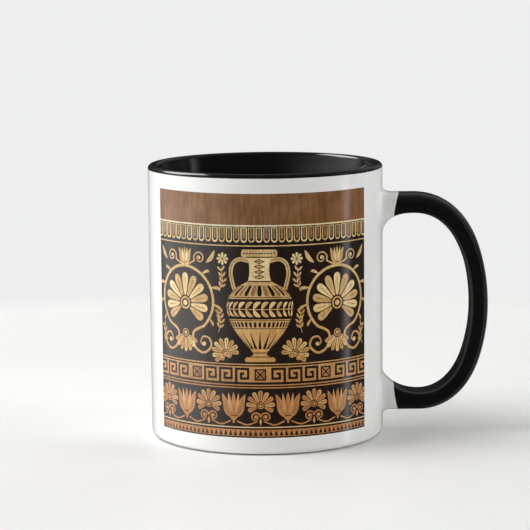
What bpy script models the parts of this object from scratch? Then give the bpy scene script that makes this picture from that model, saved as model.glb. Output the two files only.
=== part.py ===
"""A straight-sided ceramic mug, fired in one piece with its loop handle.

White glaze covers the outside and black glaze the inside, the lip and the loop.
The foot stands on z = 0 and the handle points along +X. The outline, from the far
side of the cup to the outer edge of the handle, is centred on x = 0.
"""

import math

import bmesh
import bpy
from mathutils import Vector

# The cup, in metres
RIM_HEIGHT = 0.0955
RIM_RADIUS = 0.0410
BASE_RADIUS = 0.0408
WALL = 0.0044
FLOOR = 0.0058
INNER_CORNER = 0.0090

# The lip, which thins the wall towards the rim
LIP = 0.0030
LIP_ROUND = 0.0015
LIP_TAPER_DEPTH = 0.0120

# The foot ring and the shallow recess inside it
HEEL_ROUND = 0.0020
FOOT_WIDTH = 0.0032
RECESS_DEPTH = 0.0018
RECESS_SLOPE = 0.0014

# The handle: its legs leave the side of the cup level, and join in one long bow
HANDLE_REACH = 0.0370
TOP_LEG_DROP = 0.0142
BOTTOM_LEG_HEIGHT = 0.0113
WIDEST_HEIGHT = 0.0451
TOP_LEG_LENGTH = 0.0106
BOTTOM_LEG_LENGTH = 0.0127
BOW_THICKNESS = 0.0066
TOP_LEG_THICKNESS = 0.0070
BOTTOM_LEG_THICKNESS = 0.0072
BOW_WIDTH = 0.0132
LEG_WIDTH = 0.0142

# How much slimmer the loop's inner half is than its outer half, half way up and at the bottom
MIDDLE_INNER_CUT = 0.0002
BOTTOM_INNER_CUT = 0.0008

# Where a leg spreads onto the cup: how far the spread reaches along the wall and how far
# out it starts, on the inner side of the loop, on its outer side and sideways
TOP_SPREAD_INNER = 0.0072
TOP_INNER_LENGTH = 0.0106
TOP_SPREAD_OUTER = 0.0016
TOP_OUTER_LENGTH = 0.0042
BOTTOM_SPREAD_INNER = 0.0071
BOTTOM_INNER_LENGTH = 0.0127
BOTTOM_SPREAD_OUTER = 0.0014
BOTTOM_OUTER_LENGTH = 0.0020
SPREAD_SIDE = 0.0009
SIDE_LENGTH = 0.0020

# How abruptly a spread leaves the wall, and how gently it joins the leg
TOP_CURVE = (0.65, 2.1)
BOTTOM_CURVE = (0.90, 2.0)

# Glaze lines: below the rim on the cup, and out from the cup's side on the legs
RIM_GLAZE_DROP = 0.00145
LEG_GLAZE_START = 0.0050
LEG_GLAZE_LEAN = 0.18

# The bow's shape, as shares of its own height and depth
TOP_LEVEL_PULL = 0.773
TOP_UPRIGHT_PULL = 0.420
BOTTOM_LEVEL_PULL = 0.693
BOTTOM_UPRIGHT_PULL = 0.475
LEAN_STRETCH = (0.36, 0.78)

# How square the handle's section is: 2 is an ellipse. Its outer side is rounder than its
# inner side, except on the cup's wall, where both are as round
OUTER_POWER = 2.5
INNER_POWER = 7.0

# Facets
CUP_SEGMENTS = 80
HANDLE_SIDES = 20
BOW_STEPS = 18

WHITE_GLAZE = (0.86, 0.86, 0.84, 1.0)
BLACK_GLAZE = (0.012, 0.012, 0.013, 1.0)


def clear_scene():
    for thing in list(bpy.data.objects):
        bpy.data.objects.remove(thing, do_unlink=True)


def glaze(name, colour, roughness):
    material = bpy.data.materials.new(name)
    material.use_nodes = True
    shader = material.node_tree.nodes["Principled BSDF"]
    shader.inputs["Base Color"].default_value = colour
    shader.inputs["Roughness"].default_value = roughness
    shader.inputs["Metallic"].default_value = 0.0
    material.diffuse_color = colour
    return material


def arc(centre, radius, start, end, steps):
    """Points (r, z) round a centre, from one angle to another, in degrees."""
    points = []
    for step in range(steps + 1):
        angle = math.radians(start + (end - start) * step / steps)
        points.append((centre[0] + radius * math.cos(angle), centre[1] + radius * math.sin(angle)))
    return points


def smooth_step(share):
    share = min(max(share, 0.0), 1.0)
    return share * share * (3.0 - 2.0 * share)


def outer_radius(height):
    """The cup's outside radius: it widens evenly from the foot to the rim."""
    return BASE_RADIUS + (RIM_RADIUS - BASE_RADIUS) * height / RIM_HEIGHT


def cup_profile():
    """The cup's section, from the middle of its underside out and over the lip to its floor."""
    heel_radius = outer_radius(HEEL_ROUND)
    foot_outer = heel_radius - HEEL_ROUND
    foot_inner = foot_outer - FOOT_WIDTH
    underside = [(0.0, RECESS_DEPTH), (foot_inner - RECESS_SLOPE, RECESS_DEPTH)]
    underside.append((foot_inner - RECESS_SLOPE * 0.3, RECESS_DEPTH * 0.5))
    underside.append((foot_inner, 0.0))
    heel = arc((foot_outer, HEEL_ROUND), HEEL_ROUND, -90.0, 0.0, 4)

    lip_round = min(LIP_ROUND, LIP / 2.0)
    lip_centre = RIM_HEIGHT - lip_round
    glaze_angle = math.degrees(math.asin(1.0 - min(RIM_GLAZE_DROP / lip_round, 1.0)))
    outer_centre = RIM_RADIUS - lip_round
    below_glaze = [(outer_radius(lip_centre), lip_centre)] if glaze_angle > 0.5 else []
    lip_outer = arc((outer_centre, lip_centre), lip_round, glaze_angle, 90.0, 4)
    inner_centre = RIM_RADIUS - LIP + lip_round
    lip_inner = arc((inner_centre, lip_centre), lip_round, 90.0, 180.0, 4)
    if outer_centre - inner_centre < 0.00005:
        lip_inner = lip_inner[1:]

    floor_top = RECESS_DEPTH + FLOOR
    throat_height = RIM_HEIGHT - LIP_TAPER_DEPTH
    throat = [(outer_radius(throat_height) - WALL, throat_height)]
    corner_height = floor_top + INNER_CORNER
    corner_centre = (outer_radius(corner_height) - WALL - INNER_CORNER, corner_height)
    corner = arc(corner_centre, INNER_CORNER, 0.0, -90.0, 5)
    inside = throat + corner + [(0.0, floor_top)]
    return underside + heel + below_glaze + lip_outer + lip_inner + inside


def is_black_on_cup(face):
    centre = face.calc_center_median()
    radius = math.hypot(centre.x, centre.y)
    over_lip = centre.z > RIM_HEIGHT - RIM_GLAZE_DROP
    within_wall = radius < outer_radius(centre.z) - LIP / 2.0 and centre.z > RECESS_DEPTH + FLOOR / 2.0
    return over_lip or within_wall


def finish_mesh(bm, name, materials, location):
    """Turn a bmesh into a smooth-shaded object that carries the two glazes."""
    bmesh.ops.recalc_face_normals(bm, faces=bm.faces)
    mesh = bpy.data.meshes.new(name)
    bm.to_mesh(mesh)
    bm.free()
    mesh.shade_smooth()
    mesh.set_sharp_from_angle(angle=math.radians(50.0))
    for material in materials:
        mesh.materials.append(material)
    thing = bpy.data.objects.new(name, mesh)
    thing.location = location
    bpy.context.scene.collection.objects.link(thing)
    return thing


def make_cup(materials, location):
    """Turn the section once round the cup's axis."""
    bm = bmesh.new()
    corners = [bm.verts.new((radius, 0.0, height)) for radius, height in cup_profile()]
    edges = [bm.edges.new(pair) for pair in zip(corners, corners[1:])]
    bmesh.ops.spin(
        bm,
        geom=corners + edges,
        cent=(0.0, 0.0, 0.0),
        axis=(0.0, 0.0, 1.0),
        angle=2.0 * math.pi,
        steps=CUP_SEGMENTS,
        use_merge=True,
    )
    bmesh.ops.remove_doubles(bm, verts=bm.verts, dist=0.000002)
    for face in bm.faces:
        face.material_index = 1 if is_black_on_cup(face) else 0
    return finish_mesh(bm, "mug", materials, location)


def bezier(start, pull_start, pull_end, end, share):
    """A point on a cubic arc and its direction there."""
    rest = 1.0 - share
    point = start * rest**3 + pull_start * (3.0 * rest**2 * share)
    point += pull_end * (3.0 * rest * share**2) + end * share**3
    direction = (pull_start - start) * rest**2 + (pull_end - pull_start) * (2.0 * rest * share)
    direction += (end - pull_end) * share**2
    return point, direction.normalized()


def bow_path():
    """Points and directions along the bow, from the end of the top leg to the bottom leg."""
    top_height = RIM_HEIGHT - TOP_LEG_DROP
    middle_x = RIM_RADIUS + HANDLE_REACH - BOW_THICKNESS / 2.0
    top = Vector((outer_radius(top_height) + TOP_LEG_LENGTH, 0.0, top_height))
    middle = Vector((middle_x, 0.0, WIDEST_HEIGHT))
    bottom = Vector((outer_radius(BOTTOM_LEG_HEIGHT) + BOTTOM_LEG_LENGTH, 0.0, BOTTOM_LEG_HEIGHT))
    top_rise = Vector((0.0, 0.0, (top.z - middle.z) * TOP_UPRIGHT_PULL))
    top_run = Vector(((middle.x - top.x) * TOP_LEVEL_PULL, 0.0, 0.0))
    bottom_drop = Vector((0.0, 0.0, (middle.z - bottom.z) * BOTTOM_UPRIGHT_PULL))
    bottom_run = Vector(((middle.x - bottom.x) * BOTTOM_LEVEL_PULL, 0.0, 0.0))
    path = []
    for step in range(BOW_STEPS + 1):
        path.append(bezier(top, top + top_run, middle + top_rise, middle, step / BOW_STEPS))
    for step in range(1, BOW_STEPS + 1):
        path.append(bezier(middle, middle - bottom_drop, bottom + bottom_run, bottom, step / BOW_STEPS))
    return path


def bow_size(height):
    """The bow's section at a height, slimmest half way: half its thickness outward and inward, half its width."""
    top_height = RIM_HEIGHT - TOP_LEG_DROP
    is_upper = height > WIDEST_HEIGHT
    leg_height = top_height if is_upper else BOTTOM_LEG_HEIGHT
    leg_thickness = TOP_LEG_THICKNESS if is_upper else BOTTOM_LEG_THICKNESS
    leg_cut = 0.0 if is_upper else BOTTOM_INNER_CUT
    away = abs(height - WIDEST_HEIGHT) / abs(leg_height - WIDEST_HEIGHT)
    share = smooth_step((away - LEAN_STRETCH[0]) / (LEAN_STRETCH[1] - LEAN_STRETCH[0]))
    half_thickness = (BOW_THICKNESS + (leg_thickness - BOW_THICKNESS) * share) / 2.0
    inner_cut = MIDDLE_INNER_CUT + (leg_cut - MIDDLE_INNER_CUT) * share
    width = BOW_WIDTH + (LEG_WIDTH - BOW_WIDTH) * share
    return half_thickness, half_thickness - inner_cut, width / 2.0


def section_offsets(side, half_outer, half_inner, half_width, inner_power):
    """How far across and outward one corner of a rounded section lies from its centre."""
    angle = 2.0 * math.pi * side / HANDLE_SIDES
    share = 2.0 / (OUTER_POWER if math.sin(angle) > 0.0 else inner_power)
    across = math.copysign(abs(math.cos(angle)) ** share, math.cos(angle))
    out = math.copysign(abs(math.sin(angle)) ** share, math.sin(angle))
    return across * half_width, out * (half_outer if out > 0.0 else half_inner)


def spread(distance, reach, length, curve):
    """How far a leg has spread at a distance from the wall."""
    share = min(max(distance / length, 0.0), 1.0)
    return reach * (1.0 - share ** curve[0]) ** curve[1]


def leg_power(distance, leg_length):
    """How square a leg's inner side is at a distance from the wall."""
    return OUTER_POWER + (INNER_POWER - OUTER_POWER) * smooth_step(distance / leg_length)


def top_leg_size(distance):
    """The top leg's section: half its thickness outward and inward, half its width, its inner power."""
    length = min(TOP_INNER_LENGTH, TOP_LEG_LENGTH)
    half_outer = TOP_LEG_THICKNESS / 2.0 + spread(distance, TOP_SPREAD_OUTER, TOP_OUTER_LENGTH, TOP_CURVE)
    half_inner = TOP_LEG_THICKNESS / 2.0 + spread(distance, TOP_SPREAD_INNER, length, TOP_CURVE)
    half_width = LEG_WIDTH / 2.0 + spread(distance, SPREAD_SIDE, SIDE_LENGTH, TOP_CURVE)
    return half_outer, half_inner, half_width, leg_power(distance, TOP_LEG_LENGTH)


def bottom_leg_size(distance):
    """The bottom leg's section, as the top leg's."""
    length = min(BOTTOM_INNER_LENGTH, BOTTOM_LEG_LENGTH)
    half_thickness = BOTTOM_LEG_THICKNESS / 2.0
    half_outer = half_thickness + spread(distance, BOTTOM_SPREAD_OUTER, BOTTOM_OUTER_LENGTH, BOTTOM_CURVE)
    half_inner = half_thickness - BOTTOM_INNER_CUT + spread(distance, BOTTOM_SPREAD_INNER, length, BOTTOM_CURVE)
    half_width = LEG_WIDTH / 2.0 + spread(distance, SPREAD_SIDE, SIDE_LENGTH, BOTTOM_CURVE)
    return half_outer, half_inner, half_width, leg_power(distance, BOTTOM_LEG_LENGTH)


def leg_ring(leg_height, outward, size_at, distance, follow):
    """A leg's ring at a distance from the cup's round wall, whose curve it follows wholly or partly."""
    radius = outer_radius(leg_height)
    ring = []
    for side in range(HANDLE_SIDES):
        lean = 0.0
        for _ in range(3):
            across, out = section_offsets(side, *size_at(distance + lean))
            lean = LEG_GLAZE_LEAN * out * follow * min(max(distance / LEG_GLAZE_START, 0.0), 1.0)
        wrap = (radius - math.sqrt(radius**2 - across**2)) * follow
        ring.append(Vector((radius + distance + lean - wrap, across, leg_height + outward * out)))
    return ring


def leg_rings(leg_height, outward, size_at, leg_length):
    """A leg's rings, from inside the cup's wall to the glaze line, and on towards the bow."""
    distances = [-WALL / 2.0]
    distances += [LEG_GLAZE_START * share for share in (0.0, 0.03, 0.11, 0.25, 0.44, 0.70, 1.0)]
    white = [leg_ring(leg_height, outward, size_at, distance, 1.0) for distance in distances]
    black = []
    for share in (0.3, 0.65):
        distance = LEG_GLAZE_START + (leg_length - LEG_GLAZE_START) * share
        black.append(leg_ring(leg_height, outward, size_at, distance, 1.0 - share))
    return white, black


def handle_rings():
    """Every ring of the handle in order, and how many belong to each white leg."""
    top_height = RIM_HEIGHT - TOP_LEG_DROP
    top_white, top_black = leg_rings(top_height, 1.0, top_leg_size, TOP_LEG_LENGTH)
    bottom_white, bottom_black = leg_rings(BOTTOM_LEG_HEIGHT, -1.0, bottom_leg_size, BOTTOM_LEG_LENGTH)
    bow = []
    for centre, direction in bow_path():
        outward = Vector((-direction.z, 0.0, direction.x))
        half_outer, half_inner, half_width = bow_size(centre.z)
        ring = []
        for side in range(HANDLE_SIDES):
            across, out = section_offsets(side, half_outer, half_inner, half_width, INNER_POWER)
            ring.append(centre + outward * out + Vector((0.0, across, 0.0)))
        bow.append(ring)
    rings = top_white + top_black + bow + bottom_black[::-1] + bottom_white[::-1]
    return rings, len(top_white)


def make_handle(materials, location):
    """A closed loop of rings, its two ends sunk half way into the cup's wall."""
    rings, white_count = handle_rings()
    bm = bmesh.new()
    loops = [[bm.verts.new(point) for point in ring] for ring in rings]
    for number, (near, far) in enumerate(zip(loops, loops[1:])):
        on_bow = white_count - 1 <= number < len(loops) - white_count
        for side in range(HANDLE_SIDES):
            after = (side + 1) % HANDLE_SIDES
            face = bm.faces.new((near[side], near[after], far[after], far[side]))
            face.material_index = 1 if on_bow else 0
    for end in (loops[0], loops[-1]):
        middle = bm.verts.new(sum((corner.co for corner in end), Vector()) / HANDLE_SIDES)
        for side in range(HANDLE_SIDES):
            bm.faces.new((end[side], end[(side + 1) % HANDLE_SIDES], middle))
    handle = finish_mesh(bm, "handle_form", materials, location)
    handle.hide_render = True
    handle.display_type = "WIRE"
    return handle


def main():
    clear_scene()
    materials = [glaze("white_glaze", WHITE_GLAZE, 0.12), glaze("black_glaze", BLACK_GLAZE, 0.12)]
    cup_axis = (-HANDLE_REACH / 2.0, 0.0, 0.0)
    mug = make_cup(materials, cup_axis)
    handle = make_handle(materials, cup_axis)
    join = mug.modifiers.new("join_handle", "BOOLEAN")
    join.operation = "UNION"
    join.solver = "EXACT"
    join.material_mode = "TRANSFER"
    join.object = handle


main()
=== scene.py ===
"""The looks of a two-tone ceramic mug with a printed panel of classical vase ornament.

Everything is in metres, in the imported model's frame: the cup stands on z = 0, its handle
points along +X and its printed front faces -Y. One smooth mesh stands for the whole mug.
The print is a thin curved sheet bedded in the glaze, and its motifs are drawn flat, in
millimetres, before they are bent round the cup.
"""

import cmath
import math

import bpy
import numpy as np
from mathutils import Matrix, Vector
from mathutils.geometry import delaunay_2d_cdt


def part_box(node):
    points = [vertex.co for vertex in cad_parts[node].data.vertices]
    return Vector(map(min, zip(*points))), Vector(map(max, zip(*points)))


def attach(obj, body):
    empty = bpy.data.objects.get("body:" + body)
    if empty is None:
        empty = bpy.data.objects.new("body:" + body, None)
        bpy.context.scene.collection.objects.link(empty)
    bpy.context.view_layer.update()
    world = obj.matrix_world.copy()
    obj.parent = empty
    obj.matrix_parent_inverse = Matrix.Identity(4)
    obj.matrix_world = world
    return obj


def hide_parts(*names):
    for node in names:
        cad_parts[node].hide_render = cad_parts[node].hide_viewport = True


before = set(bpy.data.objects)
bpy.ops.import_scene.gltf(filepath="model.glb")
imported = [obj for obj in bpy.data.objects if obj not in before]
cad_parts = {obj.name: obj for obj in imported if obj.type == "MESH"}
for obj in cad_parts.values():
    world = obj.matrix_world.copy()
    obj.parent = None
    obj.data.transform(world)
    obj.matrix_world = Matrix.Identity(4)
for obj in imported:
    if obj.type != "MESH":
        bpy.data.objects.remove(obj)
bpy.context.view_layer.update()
MUG_LOW, MUG_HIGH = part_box("mug")

# The cup's main sizes and its axis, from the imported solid
RIM_HEIGHT = MUG_HIGH.z
RIM_RADIUS = (MUG_HIGH.y - MUG_LOW.y) / 2.0
CUP_X = MUG_LOW.x + RIM_RADIUS
HANDLE_REACH = MUG_HIGH.x - CUP_X - RIM_RADIUS

# The cup's other sizes, as in the solid
BASE_RADIUS = 0.0408
WALL = 0.0044
FLOOR = 0.0058
INNER_CORNER = 0.0090
LIP = 0.0030
LIP_ROUND = 0.0015
LIP_TAPER_DEPTH = 0.0120
HEEL_ROUND = 0.0020
FOOT_WIDTH = 0.0032
RECESS_DEPTH = 0.0018
RECESS_SLOPE = 0.0014

# The handle's bow and what its two legs share, as in the solid. A spread is how far a leg
# widens at the wall, and over what length
WIDEST_HEIGHT = 0.0451
BOW_THICKNESS = 0.0066
BOW_WIDTH = 0.0132
LEG_WIDTH = 0.0142
MIDDLE_INNER_CUT = 0.0002
SIDE_SPREAD = (0.0009, 0.0020)
LEAN_STRETCH = (0.36, 0.78)
OUTER_POWER = 2.5
INNER_POWER = 7.0

# Glaze lines: how far below the rim, with waves (count, start, size), and how far out from the
# cup's side on the legs
RIM_GLAZE_DROP = 0.00145
RIM_GLAZE_WAVE = 0.00007
RIM_GLAZE_WAVES = ((3.0, 0.7, 0.5), (7.0, 2.1, 0.3), (17.0, 4.0, 0.2))
LEG_GLAZE_START = 0.0050
LEG_GLAZE_LEAN = 0.18
BARE_FOOT_ANGLE = -62.0

# How the fine mesh is divided: the columns round the cup, the patches that the legs grow from,
# the rows of the cup's section and the rings of the handle
COLUMNS = 192
PATCH_COLUMNS = 9
PATCH_ROWS = 14
RECESS_STEPS = 8
FOOT_STEPS = 4
HEEL_STEPS = 6
WALL_STEPS = 35
NECK_STEPS = 4
LIP_STEPS = 9
TAPER_STEPS = 16
INSIDE_STEPS = 22
CORNER_STEPS = 14
FLOOR_STEPS = 9
OUTLINE_STEPS = 120
OUTLINE_POWER = 2.5
LEG_STEPS = 18
LEG_POWER = 1.3
BLACK_STEPS = 8
BOW_STEPS = 56
# The soft corners under the cup, and how far the rows stop short of a corner, the lip and the
# glaze line
RECESS_ROUND = 0.0006
FOOT_ROUND = 0.0005
CORNER_GAP = 0.0008
LIP_GAP = 0.0006
GLAZE_GAP = 0.0002

# The print: its edges on the cup, and the sheet that carries it
PANEL_BOTTOM = 0.00603
PANEL_TOP = 0.08905
PANEL_HALF_WIDTH = 0.0416
PANEL_RADIUS = 0.0409
PANEL_TURN = math.radians(-3.16)
INK_RISE = 0.00001
SHEET_BEDDING = 0.00025
SHEET_STRETCH = 1.0052
# The sheet's mesh, in millimetres as its drawing is. Its back has a coarse grid, with as many
# columns on each side of the middle one and as many rows
SHEET_STEP = 1.3
MERGE_DISTANCE = 0.0001
EDGE_DISTANCE = 0.001
BACK_COLUMNS = 12
BACK_ROWS = 24

# The camera, relative to the cup's axis where it meets the ground
CAMERA_DISTANCE = 0.83726
CAMERA_HEIGHT = 0.17864
CAMERA_PITCH = math.radians(-8.113)
CAMERA_ROLL = math.radians(-0.556)
CAMERA_YAW = math.radians(0.023)
LENS = 163.32
SENSOR = 36.0

# The mug's material slots, and the two sides of what is even
WHITE = 0
BLACK = 1
BARE = 2
SIDES = (-1.0, 1.0)


class TopLeg:
    """The handle's top leg. The patch is the stretch of the wall that it grows from."""

    height = RIM_HEIGHT - 0.0142
    outward = 1.0
    patch = (RIM_HEIGHT - 0.0264, RIM_HEIGHT - 0.0066)
    length = 0.0106
    thickness = 0.0070
    inner_cut = 0.0
    outer_spread = (0.0016, 0.0042)
    inner_spread = (0.0072, 0.0106)
    curve = (0.65, 2.1)
    level_pull = 0.773
    upright_pull = 0.420


class BottomLeg:
    """The handle's bottom leg, with the same sizes as the top leg's."""

    height = 0.0113
    outward = -1.0
    patch = (HEEL_ROUND, 0.0226)
    length = 0.0127
    thickness = 0.0072
    inner_cut = 0.0008
    outer_spread = (0.0014, 0.0020)
    inner_spread = (0.0071, 0.0127)
    curve = (0.90, 2.0)
    level_pull = 0.693
    upright_pull = 0.475


def add_object(name, data):
    """An object in the scene for a mesh, a light or a camera."""
    thing = bpy.data.objects.new(name, data)
    bpy.context.scene.collection.objects.link(thing)
    return thing


class Skin:
    """The points, faces and materials of one surface, gathered ring by ring."""

    def __init__(self):
        self.points = []
        self.faces = []
        self.slots = []

    def ring(self, points):
        start = len(self.points)
        self.points.extend(points)
        return list(range(start, len(self.points)))

    def face(self, corners, slot):
        self.faces.append(tuple(corners))
        self.slots.append(slot)

    def bridge(self, near, far, slot, skip=()):
        """Quads between two closed rings of as many points."""
        for side in range(len(near)):
            after = (side + 1) % len(near)
            if side not in skip:
                self.face((near[side], near[after], far[after], far[side]), slot)

    def mesh_object(self, name, materials):
        mesh = bpy.data.meshes.new(name)
        mesh.from_pydata([tuple(point) for point in self.points], [], self.faces)
        for material in materials:
            mesh.materials.append(material)
        mesh.polygons.foreach_set("material_index", self.slots)
        mesh.shade_smooth()
        mesh.update()
        return add_object(name, mesh)


# Node materials


def feed(tree, node, inputs):
    """Links a node's inputs to sockets, or sets their values. A colour is given by its three parts."""
    for name, value in inputs.items():
        socket = node.inputs[name]
        if isinstance(value, bpy.types.NodeSocket):
            tree.links.new(value, socket)
        elif socket.type == "RGBA":
            socket.default_value = (*value, 1.0)
        else:
            socket.default_value = value
    return node


def add_node(tree, kind, inputs=(), **settings):
    node = tree.nodes.new("ShaderNode" + kind)
    for name, value in settings.items():
        setattr(node, name, value)
    return feed(tree, node, dict(inputs))


def calculate(tree, operation, *values):
    """The result of a calculation on numbers or sockets."""
    return add_node(tree, "Math", enumerate(values), operation=operation).outputs[0]


def ramp(tree, factor, stops):
    """A colour ramp through (place, colour or grey) stops."""
    node = add_node(tree, "ValToRGB", {"Fac": factor})
    elements = node.color_ramp.elements
    while len(elements) < len(stops):
        elements.new(0.5)
    for element, (place, colour) in zip(elements, stops):
        element.position = place
        element.color = (*colour, 1.0) if isinstance(colour, tuple) else (colour, colour, colour, 1.0)
    return node.outputs["Color"]


def mix(tree, factor, first, second, blend="MIX"):
    """Two colours mixed. The node numbers its factor 0, its colours 6 and 7 and its result 2."""
    inputs = {0: factor, 6: first, 7: second}
    return add_node(tree, "Mix", inputs, data_type="RGBA", blend_type=blend).outputs[2]


def multiply(tree, first, second):
    return mix(tree, 1.0, first, second, "MULTIPLY")


def surface_place(tree, stretch=(1.0, 1.0, 1.0)):
    """The place on the surface in the object's own frame, stretched along each axis."""
    place = add_node(tree, "TexCoord").outputs["Object"]
    return add_node(tree, "Mapping", {"Vector": place, "Scale": stretch}).outputs["Vector"]


def noise(tree, place, scale, detail=3.0, roughness=0.5):
    inputs = {"Vector": place, "Scale": scale, "Detail": detail, "Roughness": roughness}
    return add_node(tree, "TexNoise", inputs).outputs["Fac"]


def new_material(name, roughness):
    """An empty node material and its shader."""
    material = bpy.data.materials.new(name)
    material.use_nodes = True
    shader = material.node_tree.nodes["Principled BSDF"]
    shader.inputs["Roughness"].default_value = roughness
    shader.inputs["Metallic"].default_value = 0.0
    return material, material.node_tree, shader


def bumps(tree, height, strength, distance, under=None):
    """A surface raised by a height, on top of other bumps where they are given."""
    inputs = {"Height": height, "Strength": strength, "Distance": distance}
    if under:
        inputs["Normal"] = under
    return add_node(tree, "Bump", inputs).outputs["Normal"]


def glaze(tree, shader, colour, sheen_scale, sheen_low, sheen_high):
    """Fired glaze: a colour, clouds of more and less sheen, faint waves and a fine grain on them."""
    place = surface_place(tree)
    sheen = ramp(tree, noise(tree, place, sheen_scale), ((0.3, sheen_low), (0.7, sheen_high)))
    waves = bumps(tree, noise(tree, place, 90.0, 1.0), 0.35, 0.00012)
    grain = bumps(tree, noise(tree, place, 900.0, 2.0), 0.3, 0.00002, waves)
    feed(tree, shader, {"Base Color": colour, "Roughness": sheen, "Normal": grain})


def white_glaze():
    material, tree, shader = new_material("white_glaze", 0.12)
    place = surface_place(tree)
    tones = ((0.3, (0.865, 0.865, 0.845)), (0.75, (0.885, 0.885, 0.870)))
    cloud = ramp(tree, noise(tree, place, 38.0, 4.0), tones)
    dots = add_node(tree, "TexVoronoi", {"Vector": place, "Scale": 230.0})
    pinholes = ramp(tree, dots.outputs["Distance"], ((0.03, 1.0), (0.05, 0.0)))
    rare = ramp(tree, noise(tree, place, 120.0, 2.0), ((0.62, 0.0), (0.66, 0.5)))
    colour = mix(tree, multiply(tree, pinholes, rare), cloud, (0.70, 0.68, 0.62))
    glaze(tree, shader, colour, 60.0, 0.10, 0.15)
    return material


def black_glaze():
    material, tree, shader = new_material("black_glaze", 0.07)
    tones = ((0.3, (0.0040, 0.0040, 0.0042)), (0.75, (0.0058, 0.0056, 0.0056)))
    glaze(tree, shader, ramp(tree, noise(tree, surface_place(tree), 55.0, 4.0), tones), 70.0, 0.07, 0.11)
    shader.inputs["Specular IOR Level"].default_value = 0.32
    return material


def bare_foot():
    """Unglazed fired clay: matt, slightly warm and finely pitted."""
    material, tree, shader = new_material("bare_foot", 0.8)
    place = surface_place(tree)
    tones = ((0.3, (0.60, 0.55, 0.46)), (0.7, (0.74, 0.70, 0.62)))
    cloud = ramp(tree, noise(tree, place, 400.0, 5.0, 0.65), tones)
    pits = bumps(tree, noise(tree, place, 1800.0, 3.0, 0.7), 0.5, 0.00008)
    feed(tree, shader, {"Base Color": cloud, "Normal": pits})
    return material


# The mug


def smooth_step(share):
    share = min(max(share, 0.0), 1.0)
    return share * share * (3.0 - 2.0 * share)


def outer_radius(height):
    """The cup's outside radius: it widens evenly from the foot to the rim."""
    return BASE_RADIUS + (RIM_RADIUS - BASE_RADIUS) * height / RIM_HEIGHT


def spaced(start, end, steps):
    """Even steps from just after the start to the end."""
    return [start + (end - start) * step / steps for step in range(1, steps + 1)]


def arc(centre, radius, start, end, steps):
    """Points (r, z) round a centre, from one angle to another, in degrees."""
    points = []
    for angle in [start] + spaced(start, end, steps):
        turn = math.radians(angle)
        points.append((centre[0] + radius * math.cos(turn), centre[1] + radius * math.sin(turn)))
    return points


def rounded(corner, before, after, radius, steps=4):
    """A soft corner of the section, as a short curve from one side to the other."""
    corner = Vector(corner)
    start = corner + (Vector(before) - corner).normalized() * radius
    end = corner + (Vector(after) - corner).normalized() * radius
    points = []
    for share in [0.0] + spaced(0.0, 1.0, steps):
        point = start * (1.0 - share) ** 2 + corner * (2.0 * share * (1.0 - share)) + end * share**2
        points.append((point.x, point.y))
    return points


def in_slot(points, slot):
    """Points (r, z) of the section, with the material of the faces that end at them."""
    return [(radius, height, slot) for radius, height in points]


def underside_rows():
    """The recess, the bare foot ring and the heel, from the middle out to the wall."""
    foot_outer = outer_radius(HEEL_ROUND) - HEEL_ROUND
    foot_inner = foot_outer - FOOT_WIDTH
    recess_edge = (foot_inner - RECESS_SLOPE, RECESS_DEPTH)
    foot_edge = (foot_inner, 0.0)
    recess = [(radius, RECESS_DEPTH) for radius in spaced(0.0, recess_edge[0] - CORNER_GAP, RECESS_STEPS)]
    recess += rounded(recess_edge, (0.0, RECESS_DEPTH), foot_edge, RECESS_ROUND)
    edge = rounded(foot_edge, recess_edge, (foot_outer, 0.0), FOOT_ROUND)
    foot = edge[1:] + [(radius, 0.0) for radius in spaced(edge[-1][0], foot_outer, FOOT_STEPS)]
    centre = (foot_outer, HEEL_ROUND)
    foot += arc(centre, HEEL_ROUND, -90.0, BARE_FOOT_ANGLE, FOOT_STEPS)[1:]
    heel = arc(centre, HEEL_ROUND, BARE_FOOT_ANGLE, 0.0, HEEL_STEPS)[1:]
    return in_slot(recess + edge[:1], WHITE) + in_slot(foot, BARE) + in_slot(heel, WHITE)


def wall_rows():
    """The outside wall above the heel, up to the glaze line under the rim."""
    heights = spaced(*BottomLeg.patch, PATCH_ROWS)
    heights += spaced(BottomLeg.patch[1], TopLeg.patch[0], WALL_STEPS)
    heights += spaced(*TopLeg.patch, PATCH_ROWS)
    heights += spaced(TopLeg.patch[1], RIM_HEIGHT - LIP_ROUND - LIP_GAP, NECK_STEPS)
    heights += [RIM_HEIGHT - RIM_GLAZE_DROP - GLAZE_GAP]
    return in_slot([(outer_radius(height), height) for height in heights], WHITE)


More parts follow.
